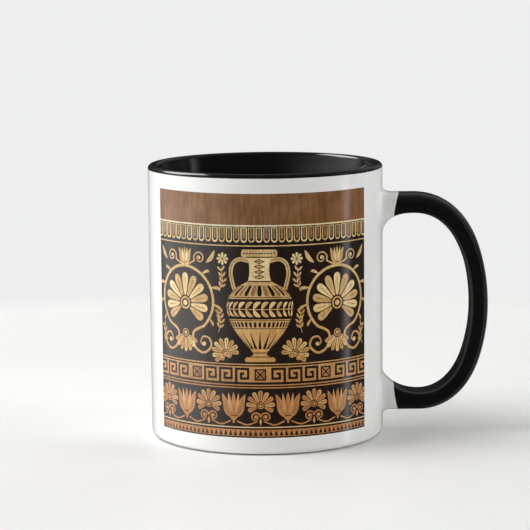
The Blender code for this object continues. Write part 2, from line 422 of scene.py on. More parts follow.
def inside_rows():
    """The lip, the inside wall, its corner and the floor, all under black glaze."""
    lip_centre = RIM_HEIGHT - LIP_ROUND
    outer_centre = RIM_RADIUS - LIP_ROUND
    inner_centre = RIM_RADIUS - LIP + LIP_ROUND
    glaze_angle = math.degrees(math.asin(1.0 - RIM_GLAZE_DROP / LIP_ROUND))
    points = arc((outer_centre, lip_centre), LIP_ROUND, glaze_angle, 90.0, LIP_STEPS)
    points += arc((inner_centre, lip_centre), LIP_ROUND, 90.0, 180.0, LIP_STEPS)[1:]
    throat_height = RIM_HEIGHT - LIP_TAPER_DEPTH
    throat_radius = outer_radius(throat_height) - WALL
    lip_radius = inner_centre - LIP_ROUND
    for height in spaced(lip_centre, throat_height, TAPER_STEPS):
        share = (height - throat_height) / (lip_centre - throat_height)
        points.append((throat_radius + (lip_radius - throat_radius) * share**2, height))
    corner_height = RECESS_DEPTH + FLOOR + INNER_CORNER
    low_radius = outer_radius(corner_height) - WALL
    for height in spaced(throat_height, corner_height, INSIDE_STEPS):
        share = (height - corner_height) / (throat_height - corner_height)
        points.append((low_radius + (throat_radius - low_radius) * share, height))
    centre = (low_radius - INNER_CORNER, corner_height)
    points += arc(centre, INNER_CORNER, 0.0, -90.0, CORNER_STEPS)[1:]
    points += [(radius, RECESS_DEPTH + FLOOR) for radius in spaced(centre[0], 0.0, FLOOR_STEPS)[:-1]]
    return in_slot(points, BLACK)


def glaze_wave(turn):
    """How far the black glaze's edge under the rim strays up or down, round the cup."""
    waves = [size * math.sin(count * turn + start) for count, start, size in RIM_GLAZE_WAVES]
    return RIM_GLAZE_WAVE * sum(waves)


def make_cup(skin):
    """Adds the cup, with holes where the legs grow out, and returns the wall's grid by height."""
    underside = underside_rows()
    wall = wall_rows()
    inside = inside_rows()
    rows = underside + wall + inside
    cut = len(underside) + len(wall)
    turns = [2.0 * math.pi * column / COLUMNS for column in range(COLUMNS)]
    hole = set(list(range(PATCH_COLUMNS)) + [COLUMNS - 1 - column for column in range(PATCH_COLUMNS)])
    rings = []
    for number, (radius, height, _) in enumerate(rows):
        ring = []
        for turn in turns:
            stray = glaze_wave(turn) if number == cut else 0.0
            ring.append((CUP_X + radius * math.cos(turn), radius * math.sin(turn), height + stray))
        rings.append(skin.ring(ring))
    for number in range(1, len(rows)):
        middle = (rows[number - 1][1] + rows[number][1]) / 2.0
        in_patch = any(leg.patch[0] < middle < leg.patch[1] for leg in (BottomLeg, TopLeg))
        is_holed = len(underside) <= number < cut and in_patch
        slot = WHITE if number == cut else rows[number][2]
        skin.bridge(rings[number - 1], rings[number], slot, hole if is_holed else ())
    for ring, height, slot in ((rings[0], RECESS_DEPTH, WHITE), (rings[-1], RECESS_DEPTH + FLOOR, BLACK)):
        middle = skin.ring([(CUP_X, 0.0, height)])[0]
        for side in range(COLUMNS):
            after = (side + 1) % COLUMNS
            pair = (ring[after], ring[side]) if slot == WHITE else (ring[side], ring[after])
            skin.face((*pair, middle), slot)
    first = len(underside) - 1
    return {round(rows[number][1], 6): rings[number] for number in range(first, cut)}


def patch_loop(grid, patch):
    """The grid's points round a patch, each with its (arc length, height)."""
    heights = [patch[0]] + spaced(*patch, PATCH_ROWS)
    rows = [grid[round(height, 6)] for height in heights]
    step = 2.0 * math.pi / COLUMNS
    loop = []
    for row, height in zip(rows, heights):
        on_edge = height in (heights[0], heights[-1])
        columns = range(-PATCH_COLUMNS, PATCH_COLUMNS + 1) if on_edge else (-PATCH_COLUMNS, PATCH_COLUMNS)
        for column in columns:
            loop.append((row[column % COLUMNS], column * step * outer_radius(height), height))
    return loop


def ordered_loop(grid, leg):
    """The leg's patch as points in order of their angle about the leg, with those angles."""
    loop = patch_loop(grid, leg.patch)
    half_width = max(arc_length for _, arc_length, _ in loop)
    above = leg.patch[1] - leg.height
    below = leg.height - leg.patch[0]
    angled = []
    for point, arc_length, height in loop:
        out = leg.outward * (height - leg.height) / (above if height > leg.height else below)
        angle = math.atan2(out, arc_length / half_width) % (2.0 * math.pi)
        angled.append((angle, point, arc_length, height))
    return sorted(angled)


def section_offset(angle, half_outer, half_inner, half_width, inner_power):
    """How far across and outward a rounded section's edge lies at an angle."""
    share = 2.0 / (OUTER_POWER if math.sin(angle) > 0.0 else inner_power)
    across = math.copysign(abs(math.cos(angle)) ** share, math.cos(angle))
    out = math.copysign(abs(math.sin(angle)) ** share, math.sin(angle))
    return across * half_width, out * (half_outer if out > 0.0 else half_inner)


def on_wall(across, height):
    """The point of the cup's side towards the handle at a sideways place and a height."""
    radius = outer_radius(height)
    return Vector((CUP_X + math.sqrt(radius**2 - across**2), across, height))


def leg_size(leg, distance):
    """A leg's section: half its thickness outward and inward, half its width, its inner power."""

    def spread(reach, length):
        share = min(max(distance / length, 0.0), 1.0)
        return reach * (1.0 - share ** leg.curve[0]) ** leg.curve[1]

    half_outer = leg.thickness / 2.0 + spread(*leg.outer_spread)
    half_inner = leg.thickness / 2.0 - leg.inner_cut + spread(*leg.inner_spread)
    half_width = LEG_WIDTH / 2.0 + spread(*SIDE_SPREAD)
    inner_power = OUTER_POWER + (INNER_POWER - OUTER_POWER) * smooth_step(distance / leg.length)
    return half_outer, half_inner, half_width, inner_power


def leg_point(leg, angle, distance, follow):
    """A point round a leg at a distance from the cup's wall, whose curve it follows wholly or partly."""
    lean = 0.0
    for _ in range(3):
        across, out = section_offset(angle, *leg_size(leg, distance + lean))
        lean = LEG_GLAZE_LEAN * out * follow * min(distance / LEG_GLAZE_START, 1.0)
    radius = outer_radius(leg.height + leg.outward * out * follow)
    wrap = (radius - math.sqrt(radius**2 - across**2)) * follow
    return Vector((CUP_X + radius + distance + lean - wrap, across, leg.height + leg.outward * out))


def resampled(points, shares):
    """Points at given shares of a line's length."""
    path = np.array(points)
    steps = np.linalg.norm(np.diff(path, axis=0), axis=1)
    lengths = np.concatenate(([0.0], np.cumsum(steps)))
    goals = np.array(shares) * lengths[-1]
    return [Vector(point) for point in zip(*(np.interp(goals, lengths, path[:, axis]) for axis in range(3)))]


def leg_rings(leg, angled):
    """A leg's rings: over the patch round it, out to the glaze line, and on towards the bow."""
    patch_shares = (0.78, 0.55, 0.34, 0.18, 0.08, 0.02, 0.0)
    flare_shares = [(step / LEG_STEPS) ** LEG_POWER for step in range(1, LEG_STEPS + 1)]
    black_shares = [step / BLACK_STEPS for step in range(1, BLACK_STEPS)]
    patch_rings = [[] for _ in patch_shares]
    flare_rings = [[] for _ in flare_shares]
    black_rings = [[] for _ in black_shares]
    shares = [(step / OUTLINE_STEPS) ** OUTLINE_POWER for step in range(OUTLINE_STEPS + 1)]
    distances = [LEG_GLAZE_START * share for share in shares]
    for angle, _, arc_length, height in angled:
        outline = [leg_point(leg, angle, distance, 1.0) for distance in distances]
        foot = outline[0]
        foot_arc = outer_radius(foot.z) * math.asin(foot.y / outer_radius(foot.z))
        for ring, share in zip(patch_rings, patch_shares):
            level = foot.z + (height - foot.z) * share
            turn = (foot_arc + (arc_length - foot_arc) * share) / outer_radius(level)
            ring.append(on_wall(outer_radius(level) * math.sin(turn), level))
        for ring, point in zip(flare_rings, resampled(outline, flare_shares)):
            ring.append(point)
        for ring, share in zip(black_rings, black_shares):
            distance = LEG_GLAZE_START + (leg.length - LEG_GLAZE_START) * share
            ring.append(leg_point(leg, angle, distance, 1.0 - share))
    return patch_rings + flare_rings, black_rings


def bezier(start, pull_start, pull_end, end, share):
    """A point on a cubic arc and its direction there."""
    rest = 1.0 - share
    point = start * rest**3 + pull_start * (3.0 * rest**2 * share)
    point += pull_end * (3.0 * rest * share**2) + end * share**3
    direction = (pull_start - start) * rest**2 + (pull_end - pull_start) * (2.0 * rest * share)
    direction += (end - pull_end) * share**2
    return point, direction.normalized()


def bow_path():
    """Points and directions along the bow, from the end of the top leg to the bottom leg."""
    middle = Vector((CUP_X + RIM_RADIUS + HANDLE_REACH - BOW_THICKNESS / 2.0, 0.0, WIDEST_HEIGHT))
    arcs = []
    for leg in (TopLeg, BottomLeg):
        end = Vector((CUP_X + outer_radius(leg.height) + leg.length, 0.0, leg.height))
        run = Vector(((middle.x - end.x) * leg.level_pull, 0.0, 0.0))
        rise = Vector((0.0, 0.0, (end.z - middle.z) * leg.upright_pull))
        arcs.append([end, end + run, middle + rise, middle])
    path = [bezier(*arcs[0], step / BOW_STEPS) for step in range(BOW_STEPS + 1)]
    return path + [bezier(*arcs[1][::-1], step / BOW_STEPS) for step in range(1, BOW_STEPS + 1)]


def bow_size(height):
    """The bow's section, slimmest half way up: half its thickness outward and inward, half its width."""
    leg = TopLeg if height > WIDEST_HEIGHT else BottomLeg
    away = abs(height - WIDEST_HEIGHT) / abs(leg.height - WIDEST_HEIGHT)
    share = smooth_step((away - LEAN_STRETCH[0]) / (LEAN_STRETCH[1] - LEAN_STRETCH[0]))
    half_thickness = (BOW_THICKNESS + (leg.thickness - BOW_THICKNESS) * share) / 2.0
    inner_cut = MIDDLE_INNER_CUT + (leg.inner_cut - MIDDLE_INNER_CUT) * share
    width = BOW_WIDTH + (LEG_WIDTH - BOW_WIDTH) * share
    return half_thickness, half_thickness - inner_cut, width / 2.0


def bow_rings(top, bottom):
    """Rounded sections along the bow, whose angles pass from the top leg's to the bottom leg's."""
    path = bow_path()
    rings = []
    for number, (centre, direction) in enumerate(path):
        share = number / (len(path) - 1)
        outward = Vector((-direction.z, 0.0, direction.x))
        size = bow_size(centre.z)
        ring = []
        for (top_angle, *_), (bottom_angle, *_) in zip(top, bottom):
            angle = top_angle + (bottom_angle - top_angle) * share
            across, out = section_offset(angle, *size, INNER_POWER)
            ring.append(centre + outward * out + Vector((0.0, across, 0.0)))
        rings.append(ring)
    return rings


def make_handle(skin, grid):
    """Adds the handle as one tube that grows out of the wall at both ends."""
    top = ordered_loop(grid, TopLeg)
    bottom = ordered_loop(grid, BottomLeg)
    top_white, top_black = leg_rings(TopLeg, top)
    bottom_white, bottom_black = leg_rings(BottomLeg, bottom)
    rings = top_white + top_black + bow_rings(top, bottom) + bottom_black[::-1] + bottom_white[::-1]
    loops = [[entry[1] for entry in top]] + [skin.ring(ring) for ring in rings]
    loops.append([entry[1] for entry in bottom])
    last_black = len(loops) - len(bottom_white) - 2
    for number, (near, far) in enumerate(zip(loops, loops[1:])):
        slot = BLACK if len(top_white) <= number <= last_black else WHITE
        skin.bridge(near, far, slot)


def make_mug():
    skin = Skin()
    make_handle(skin, make_cup(skin))
    mug = skin.mesh_object("mug_body", [white_glaze(), black_glaze(), bare_foot()])
    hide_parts("mug")
    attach(mug, "root")


# Drawing the print's motifs, flat and in millimetres. A point is a complex number, across plus
# up times 1j, from the middle of the print's lower edge. A shape is an ink and a closed outline,
# and it covers the shapes before it

GROUND, STRIP, CLAY, PALE, CREAM, UMBER, WASH = range(7)
HALF_WIDTH = PANEL_HALF_WIDTH * 1000.0
PRINT_HEIGHT = (PANEL_TOP - PANEL_BOTTOM) * 1000.0
# The share of the colour map that a millimetre of the print takes up. Its back and its edge
# take up thin strips beside and above it
PRINT_MAP = 0.955 / (2.0 * HALF_WIDTH)
BACK_MAP = 0.98
BACK_MAP_SCALE = 0.0003
EDGE_MAP_LOW = 0.97j
EDGE_MAP_HIGH = 0.99j


def heading(degrees):
    """A unit step in a direction: 0 is up and 90 is to the right."""
    return cmath.rect(1.0, math.radians(90.0 - degrees))


def circle(centre, radius, sides=18):
    return [centre + radius * heading(360.0 * side / sides) for side in range(sides)]


def sweep(centre, radius, start, end, steps, end_radius=None):
    """A line round a centre between two headings, whose radius may change evenly."""
    end_radius = radius if end_radius is None else end_radius
    points = []
    for step in range(steps + 1):
        share = step / steps
        reach = radius + (end_radius - radius) * share
        points.append(centre + reach * heading(start + (end - start) * share))
    return points


def smooth(points, steps=6):
    """A smooth line through chosen points."""
    ends = [2.0 * points[0] - points[1], *points, 2.0 * points[-1] - points[-2]]
    line = [points[0]]
    for before, start, end, after in zip(ends, ends[1:], ends[2:], ends[3:]):
        for step in range(1, steps + 1):
            share = step / steps
            point = 2.0 * start + (end - before) * share
            point += (2.0 * before - 5.0 * start + 4.0 * end - after) * share**2
            point += (3.0 * start - before - 3.0 * end + after) * share**3
            line.append(point / 2.0)
    return line


def ribbon(line, widths):
    """The outline of a line that has a width at each of its points, with mitred corners."""
    path = np.array(line)
    ways = np.diff(path)
    ways = ways / abs(ways)
    before = np.concatenate((ways[:1], ways))
    after = np.concatenate((ways, ways[-1:]))
    across = 1j * (before + after)
    mitre = 1.0 / np.cos(np.angle(after / before) / 2.0)
    side = across / abs(across) * mitre * np.array(widths) / 2.0
    return [*(path + side), *(path - side)[::-1]]


def stroke(line, width, end_width=None):
    """A line drawn with one width, or with one that changes evenly."""
    return ribbon(line, np.linspace(width, width if end_width is None else end_width, len(line)))


def blade(line, width):
    """A long leaf along a line, pointed at both ends."""
    return ribbon(line, width * np.sin(np.linspace(0.0, np.pi, len(line))) ** 0.8)


def petal(base, way, length, width):
    """A round-ended petal that is narrow at its base."""
    edge = []
    for step in range(9):
        share = math.sin(math.pi / 2.0 * step / 8)
        half = width / 2.0 * (0.22 + 0.78 * share**0.9) * math.sqrt(1.0 - share**6)
        edge.append(complex(share * length, half))
    return [base + way * point for point in edge + [point.conjugate() for point in edge[-2::-1]]]


def tongue(root, length, width):
    """A straight tongue that hangs from its root and ends round."""
    centre = root - 1j * (length - width / 2.0)
    return [root - width / 2.0, *sweep(centre, width / 2.0, 270.0, 90.0, 8), root + width / 2.0]


def palmette(shapes, heart, facing, radius, petals, fan):
    """A fan of petals round a heart, each with a fine line along its middle."""
    pitch = 2.0 * fan / (petals - 1)
    for number in range(petals):
        lean = pitch * number - fan
        way = heading(facing + lean)
        length = radius * (0.74 - 0.13 * (lean / fan) ** 2)
        base = heart + way * radius * 0.26
        width = 1.64 * radius * math.sin(math.radians(pitch / 2.0))
        shapes.append((PALE if number % 2 else CLAY, petal(base, way, length, width)))
        shapes.append((UMBER, stroke([base + way * length * share for share in (0.2, 0.8)], 0.08, 0.24)))
    shapes.append((CLAY, circle(heart, radius * 0.21)))
    shapes.append((GROUND, circle(heart, radius * 0.15)))
    shapes.append((PALE, circle(heart, radius * 0.09)))


def volutes(shapes, root, facing, size, width):
    """Two spirals that curl away from each other on both sides of a root."""
    for side in SIDES:
        centre = root + size * heading(facing + side * 90.0)
        start = facing - side * 90.0
        line = sweep(centre, size, start, start + side * 560.0, 34, size * 0.16)
        shapes.append((CLAY, stroke(line, width, width * 0.6)))
        shapes.append((PALE, circle(centre, width * 0.85, 12)))


def lotus(shapes, base, facing, height):
    """An open lotus: a bud between curved sepals, on a round cup."""
    right = heading(facing + 90.0) * height
    up = heading(facing) * height
    for side in SIDES:
        out = side * right
        outer = smooth([base, base + 0.24 * out + 0.28 * up, base + 0.31 * out + 0.62 * up])
        outer += smooth([outer[-1], base + 0.46 * out + 0.97 * up])[1:]
        shapes.append((CLAY, blade(outer, 0.26 * height)))
        shapes.append((UMBER, stroke(outer[4:-3], 0.14)))
        inner = smooth([base + 0.1 * up, base + 0.13 * out + 0.5 * up, base + 0.2 * out + up])
        shapes.append((PALE, blade(inner, 0.13 * height)))
    bud = [base + up * (0.15 + 0.11 * step) for step in range(9)]
    shapes.append((CLAY, blade(bud, 0.17 * height)))
    shapes.append((CLAY, circle(base + 0.1 * up, 0.15 * height)))
    shapes.append((GROUND, stroke([base + 0.12 * side * right + 0.13 * up for side in SIDES], 0.3)))


def rosette(shapes, centre, radius):
    """A small round flower."""
    for number in range(8):
        way = heading(45.0 * number)
        shapes.append((PALE, petal(centre + way * radius * 0.2, way, radius * 0.8, radius * 0.56)))
    shapes.append((WASH, circle(centre, radius * 0.24, 12)))


def leaf_pairs(shapes, line, length, spacing):
    """A thin stem with pairs of small pointed leaves along it."""
    shapes.append((CLAY, stroke(line, 0.22)))
    for number in range(spacing, len(line) - 1, spacing):
        way = line[number] - line[number - 1]
        way = way / abs(way)
        for side in SIDES:
            lean = way * cmath.rect(1.0, side * 0.62) * length
            middle = line[number] + lean * 0.5 + 1j * way * side * length * 0.05
            leaf = smooth([line[number], middle, line[number] + lean], 4)
            shapes.append((CLAY, blade(leaf, length * 0.34)))


# The print's bands: each function fills one, and is given the heights of its lower and upper edge


def ray_band(bottom, top):
    """Small dark rays that stand on the lower edge."""
    pitch = 1.75
    shapes = []
    for number in range(-24, 25):
        middle = number * pitch
        corners = [middle + side * pitch * 0.36 + 1j * (bottom + 0.25) for side in SIDES]
        shapes.append((GROUND, [*corners, middle + 1j * (top - 0.2)]))
    return shapes


def flower_chain(bottom, _):
    """Palmettes on volutes, by turns with lotus flowers, joined by hanging curves."""
    pitch = 9.3
    shapes = []
    for number in range(-5, 6):
        middle = number * pitch + 1j * bottom
        side_line = [middle + 1.1 + 1.9j, middle + pitch / 2.0 + 0.7j, middle + pitch - 1.1 + 1.9j]
        shapes.append((CLAY, stroke(smooth(side_line), 0.5)))
        if number % 2:
            shapes.append((CLAY, stroke([middle + 1.2j, middle + 3.0j], 0.7)))
            lotus(shapes, middle + 2.6j, 0.0, 9.0)
        else:
            volutes(shapes, middle + 3.3j, 0.0, 1.75, 0.55)
            shapes.append((PALE, blade([middle + 1j * (0.5 + 0.3 * step) for step in range(9)], 0.9)))
            palmette(shapes, middle + 7.2j, 0.0, 5.3, 9, 112.0)
    return shapes


def meander_band(bottom, top):
    """Dark keys that turn towards the middle, with a crossed square after every third."""
    cell = (top - bottom) / 8.0
    pitch = 7.0 * cell
    base = 1j * (bottom + cell)
    key = (-3.0, -3.0 + 6.0j, 2.0 + 6.0j, 2.0 + 2.0j, -1.0 + 2.0j, -1.0 + 4.0j, 0.4 + 4.0j)
    square = [corner * cell for corner in (-2.4 + 1.2j, -2.4 + 6.0j, 2.4 + 6.0j, 2.4 + 1.2j)]
    heart = 3.6j * cell
    shapes = [(GROUND, stroke([-HALF_WIDTH - 1.0 + base, HALF_WIDTH + 1.0 + base], cell))]
    for number in range(-8, 9):
        middle = number * pitch + base
        if number % 4:
            side = 1.0 if number < 0 else -1.0
            line = [middle + complex(point.real * side, point.imag) * cell for point in key]
            shapes.append((GROUND, stroke(line, cell)))
            continue
        shapes.append((GROUND, [middle + corner for corner in square]))
        shapes.append((CLAY, [middle + heart + (corner - heart) * 0.72 for corner in square]))
        for ends in (square[::2], square[1::2]):
            line = [middle + heart + (end - heart) * 0.64 for end in ends]
            shapes.append((GROUND, stroke(line, cell * 0.62)))
        for step in range(4):
            dot = middle + heart + heading(90.0 * step) * cell * 1.3
            shapes.append((GROUND, circle(dot, cell * 0.28, 10)))
    return shapes


def tongue_band(bottom, top):
    """Hanging tongues with dark cores, by turns pale and brown."""
    pitch = 2.56
    shapes = []
    for number in range(-17, 18):
        root = number * pitch + 1j * (top - 0.3)
        shapes.append((CLAY if number % 2 else PALE, tongue(root, top - bottom - 0.7, pitch * 0.84)))
        shapes.append((GROUND, tongue(root - 0.2j, top - bottom - 1.5, pitch * 0.56)))
        shapes.append((WASH, tongue(root - 0.2j, top - bottom - 2.1, pitch * 0.32)))
    return shapes


# The amphora in the middle of the frieze: half widths and heights of its parts
AMPHORA_FOOT = (4.9 + 0.0j, 5.2 + 0.8j, 4.3 + 1.6j, 2.5 + 2.2j, 2.3 + 3.2j)
AMPHORA_BODY = (
    2.3 + 3.0j,
    3.5 + 4.6j,
    6.5 + 8.0j,
    9.4 + 12.0j,
    11.0 + 16.0j,
    11.3 + 19.2j,
    10.4 + 22.3j,
    8.1 + 25.0j,
    5.2 + 26.7j,
    4.0 + 27.4j,
)
AMPHORA_NECK = (4.0 + 27.2j, 3.5 + 29.0j, 3.3 + 31.5j, 3.6 + 34.0j, 4.4 + 35.6j)
AMPHORA_LIP = (4.5 + 35.4j, 5.8 + 35.8j, 6.1 + 36.8j, 6.0 + 37.6j, 5.6 + 38.2j)
AMPHORA_HANDLE = (3.6 + 34.3j, 6.6 + 34.9j, 9.0 + 33.4j, 9.8 + 30.2j, 9.2 + 26.8j, 8.6 + 24.6j)


def both_sides(side_line):
    """A closed outline from its right-hand side."""
    return [*side_line, *(-point.conjugate() for point in reversed(side_line))]


def amphora(shapes, root):
    """A two-handled jar whose ornament narrows towards its sides, as on a round body."""
    body_side = smooth(list(AMPHORA_BODY))
    heights = [point.imag for point in body_side]
    half_widths = [point.real for point in body_side]

    def on_body(turn, height):
        reach = np.interp(height, heights, half_widths)
        return root + complex(reach * math.sin(math.radians(turn)), height)

    def band(ink, low, high):
        rows = [low + (high - low) * step / 4.0 for step in range(5)]
        side = [complex(np.interp(row, heights, half_widths), row) for row in rows]
        shapes.append((ink, [root + point for point in both_sides(side)]))

    handle = smooth(list(AMPHORA_HANDLE))
    for line in (handle, [-point.conjugate() for point in handle]):
        shapes.append((CLAY, [root + point for point in stroke(line, 1.35)]))
        shapes.append((UMBER, [root + point for point in stroke(line, 0.22)]))
    for ink, part in ((CLAY, AMPHORA_FOOT), (CLAY, AMPHORA_BODY), (PALE, AMPHORA_NECK), (CLAY, AMPHORA_LIP)):
        shapes.append((ink, [root + point for point in both_sides(smooth(list(part)))]))
    for height, half, width in ((27.4, 4.0, 0.4), (35.6, 4.4, 0.35), (1.7, 4.1, 0.3), (3.1, 2.3, 0.3)):
        shapes.append((GROUND, stroke([root + side * half + 1j * height for side in SIDES], width)))
    for number in range(-3, 4):
        turn = number * 24.0
        shapes.append((GROUND, [on_body(turn - 9.0, 4.4), on_body(turn, 10.6), on_body(turn + 9.0, 4.4)]))
    for height in (11.2, 13.9, 21.8):
        band(UMBER, height, height + 0.3)
    for number in range(-9, 10):
        turn = number * 9.4
        corners = ((turn - 2.6, 11.8), (turn + 2.6, 11.8), (turn + 2.6, 13.5), (turn - 2.6, 13.5))
        shapes.append((GROUND, [on_body(*corner) for corner in corners]))
    band(GROUND, 14.5, 21.4)
    shapes.append((CLAY, stroke([on_body(turn, 17.9) for turn in range(-84, 85, 4)], 0.3)))
    for number in range(-6, 6):
        turn = number * 14.0 + 3.0
        for rise in SIDES:
            tip = (turn + 13.0, 17.9 + rise * 2.5)
            line = [on_body(turn, 17.9), on_body(turn + 5.0, 17.9 + rise * 1.7), on_body(*tip)]
            width = 1.45 * max(math.cos(math.radians(turn + 6.0)), 0.35)
            shapes.append((PALE if number % 2 else CLAY, blade(smooth(line, 4), width)))
    for number in range(-6, 7):
        turn = number * 13.4
        corners = [(turn - 4.4, 26.0), (turn - 4.8, 23.6)]
        corners += [(turn + lean, 22.7 - 0.35 * math.cos(lean / 4.8 * 1.5)) for lean in (-3.0, 0.0, 3.0)]
        corners += [(turn + 4.8, 23.6), (turn + 4.4, 26.0)]
        shapes.append((GROUND if number % 2 == 0 else WASH, [on_body(*corner) for corner in corners]))
    for number in range(4):
        middle = root + 1j * (28.9 + 1.75 * number)
        for ink, reach in ((GROUND, 1.0), (CLAY, 0.62), (UMBER, 0.25)):
            corners = (1.9 * reach, 0.85j * reach, -1.9 * reach, -0.85j * reach)
            shapes.append((ink, [middle + corner for corner in corners]))
    for number in range(-5, 6):
        shapes.append((GROUND, circle(root + number * 1.02 + 36.9j, 0.3, 10)))


def side_scroll(root):
    """A great palmette in a ring whose ends curl into volutes, with flowers and leaves round it."""
    shapes = []
    ring_radius = 11.6
    tail = (3.9 - 10.6j, 3.3 - 13.2j, 4.6 - 16.4j, 7.8 - 17.7j, 10.6 - 15.5j)
    tail += (10.0 - 12.7j, 7.6 - 12.2j, 6.6 - 14.2j, 7.8 - 15.3j)
    half_ring = [point - root for point in sweep(root, ring_radius, 0.0, 138.0, 30)]
    half_ring += smooth([half_ring[-1], *tail])[1:]
    last = len(half_ring) - 1
    widths = np.interp(np.arange(last + 1), [0, (last + 1) * 0.7, last], [0.95, 0.8, 0.4])
    for side in SIDES:
        line = [complex(point.real * side, point.imag) + root for point in half_ring]
        shapes.append((CLAY, ribbon(line, widths)))
        shapes.append((PALE, circle(root + complex(7.9 * side, -14.6), 0.75, 12)))
        for lean, size in ((38.0, 3.4), (66.0, 3.8), (94.0, 3.6), (120.0, 3.0)):
            start = root + heading(side * lean) * ring_radius
            way = heading(side * (lean + 34.0))
            bow = start + way * size * 0.5 + heading(side * lean) * size * 0.22
            shapes.append((CLAY, blade(smooth([start, bow, start + way * size], 5), size * 0.3)))
        eye = root + complex(6.3 * side, 14.6)
        curl = sweep(eye, 2.3, -side * 118.0, side * 420.0, 34, 0.4)
        stem = smooth([root + complex(0.4 * side, 11.9), root + complex(2.4 * side, 12.6), curl[0]])
        shapes.append((CLAY, stroke(stem[:-1] + curl, 0.6, 0.35)))
        shapes.append((PALE, circle(eye, 0.5, 12)))
        leaf = [root + complex(across * side, up) for across, up in ((9.0, 13.0), (11.0, 14.9), (12.4, 17.6))]
        shapes.append((CLAY, blade(smooth(leaf), 1.5)))
    palmette(shapes, root - 1.2j, 0.0, 10.4, 11, 124.0)
    lotus(shapes, root + 11.9j, 0.0, 6.0)
    palmette(shapes, root - 11.4j, 180.0, 6.6, 7, 60.0)
    return shapes


def frieze(bottom, _):
    """The amphora between two great palmette scrolls, with small flowers between them."""
    middle = 1j * bottom
    right = side_scroll(27.9 + middle + 20.8j)
    palmette(right, 11.9 + middle + 3.4j, 22.0, 5.4, 9, 105.0)
    volutes(right, 11.9 + middle + 2.3j, 22.0, 1.2, 0.45)
    rosette(right, 12.7 + middle + 35.6j, 2.1)
    stems = (
        (14.4 + 10.4j, 13.6 + 14.0j, 14.0 + 17.5j, 2.2),
        (14.0 + 24.4j, 12.8 + 28.0j, 13.2 + 32.4j, 2.2),
        (40.2 + 4.0j, 38.8 + 7.4j, 39.9 + 11.0j, 2.0),
    )
    for *stem, leaf_length in stems:
        leaf_pairs(right, smooth([middle + point for point in stem], 9), leaf_length, 4)
    shapes = []
    for ink, outline in right:
        shapes.append((ink, outline))
        shapes.append((ink, [-point.conjugate() for point in outline]))
    amphora(shapes, middle + 0.7j)
    return shapes


# The print's bands from the bottom up: height, ink of the ground and what fills it. The last
# one takes the rest of the height
BANDS = (
    (0.5, GROUND, None),
    (2.3, CLAY, ray_band),
    (0.6, GROUND, None),
    (0.4, CREAM, None),
    (13.2, GROUND, flower_chain),
    (0.4, CLAY, None),
    (0.5, GROUND, None),
    (6.6, CLAY, meander_band),
    (0.5, GROUND, None),
    (0.4, CLAY, None),
    (39.9, GROUND, frieze),
    (0.4, CLAY, None),
    (0.5, GROUND, None),
    (5.8, GROUND, tongue_band),
    (0.5, CREAM, None),
    (None, STRIP, None),
)


def cropped(outline):
    """The part of an outline between the print's side edges."""
    for side in SIDES:
        kept = []
        for before, point in zip(outline[-1:] + outline[:-1], outline):
            if (before.real * side > HALF_WIDTH) != (point.real * side > HALF_WIDTH):
                share = (side * HALF_WIDTH - before.real) / (point.real - before.real)
                kept.append(complex(side * HALF_WIDTH, before.imag + (point.imag - before.imag) * share))
            if point.real * side <= HALF_WIDTH:
                kept.append(point)
        outline = kept
    return outline


def divided(outline):
    """An outline with points added along its long edges, so that it can bend round the cup."""
    points = []
    for before, point in zip(outline[-1:] + outline[:-1], outline):
        steps = math.ceil(abs(point - before) / SHEET_STEP)
        points += [before + (point - before) * step / steps for step in range(1, steps + 1)]
    return points


def covers(outline, spots):
    """Which of many points lie inside an outline."""
    corners = np.array(outline)
    inside = np.zeros(len(spots), bool)
    box = (spots.real > corners.real.min()) & (spots.real < corners.real.max())
    box &= (spots.imag > corners.imag.min()) & (spots.imag < corners.imag.max())
    near = spots[box][:, None]
    after = np.roll(corners, -1)
    spans = (corners.imag > near.imag) != (after.imag > near.imag)
    rise = np.where(after.imag == corners.imag, 1.0, after.imag - corners.imag)
    cut = corners.real + (near.imag - corners.imag) * (after.real - corners.real) / rise
    inside[box] = (spans & (near.real < cut)).sum(axis=1) % 2 == 1
    return inside


def loop_edges(start, count):
    """The edges between a closed row of points, from the number of the first."""
    return [(start + number, start + (number + 1) % count) for number in range(count)]


def triangulated(points, edges):
    """A flat mesh that keeps the edges: its points and its triangles."""
    corners = [Vector((point.real, point.imag)) for point in points]
    spots, _, triangles, *_ = delaunay_2d_cdt(corners, edges, [], 0, MERGE_DISTANCE, False)
    return np.array([complex(*spot) for spot in spots]), triangles


def band_mesh(bottom, top, ground, shapes):
    """A band's points, triangles and the ink of each triangle."""
    columns = round(2.0 * HALF_WIDTH / SHEET_STEP)
    rows = max(1, round((top - bottom) / SHEET_STEP))
    points = []
    for row in range(rows + 1):
        for column in range(columns + 1):
            across = HALF_WIDTH * (2.0 * column / columns - 1.0)
            points.append(complex(across, bottom + (top - bottom) * row / rows))
    edges = []
    outlines = [(ink, divided(cropped(outline))) for ink, outline in shapes]
    outlines = [(ink, outline) for ink, outline in outlines if outline]
    for _, outline in outlines:
        edges += loop_edges(len(points), len(outline))
        points += outline
    places, triangles = triangulated(points, edges)
    middles = places[np.array(triangles)].mean(axis=1)
    inks = np.full(len(triangles), ground)
    for ink, outline in outlines:
        inks[covers(outline, middles)] = ink
    return places, triangles, inks


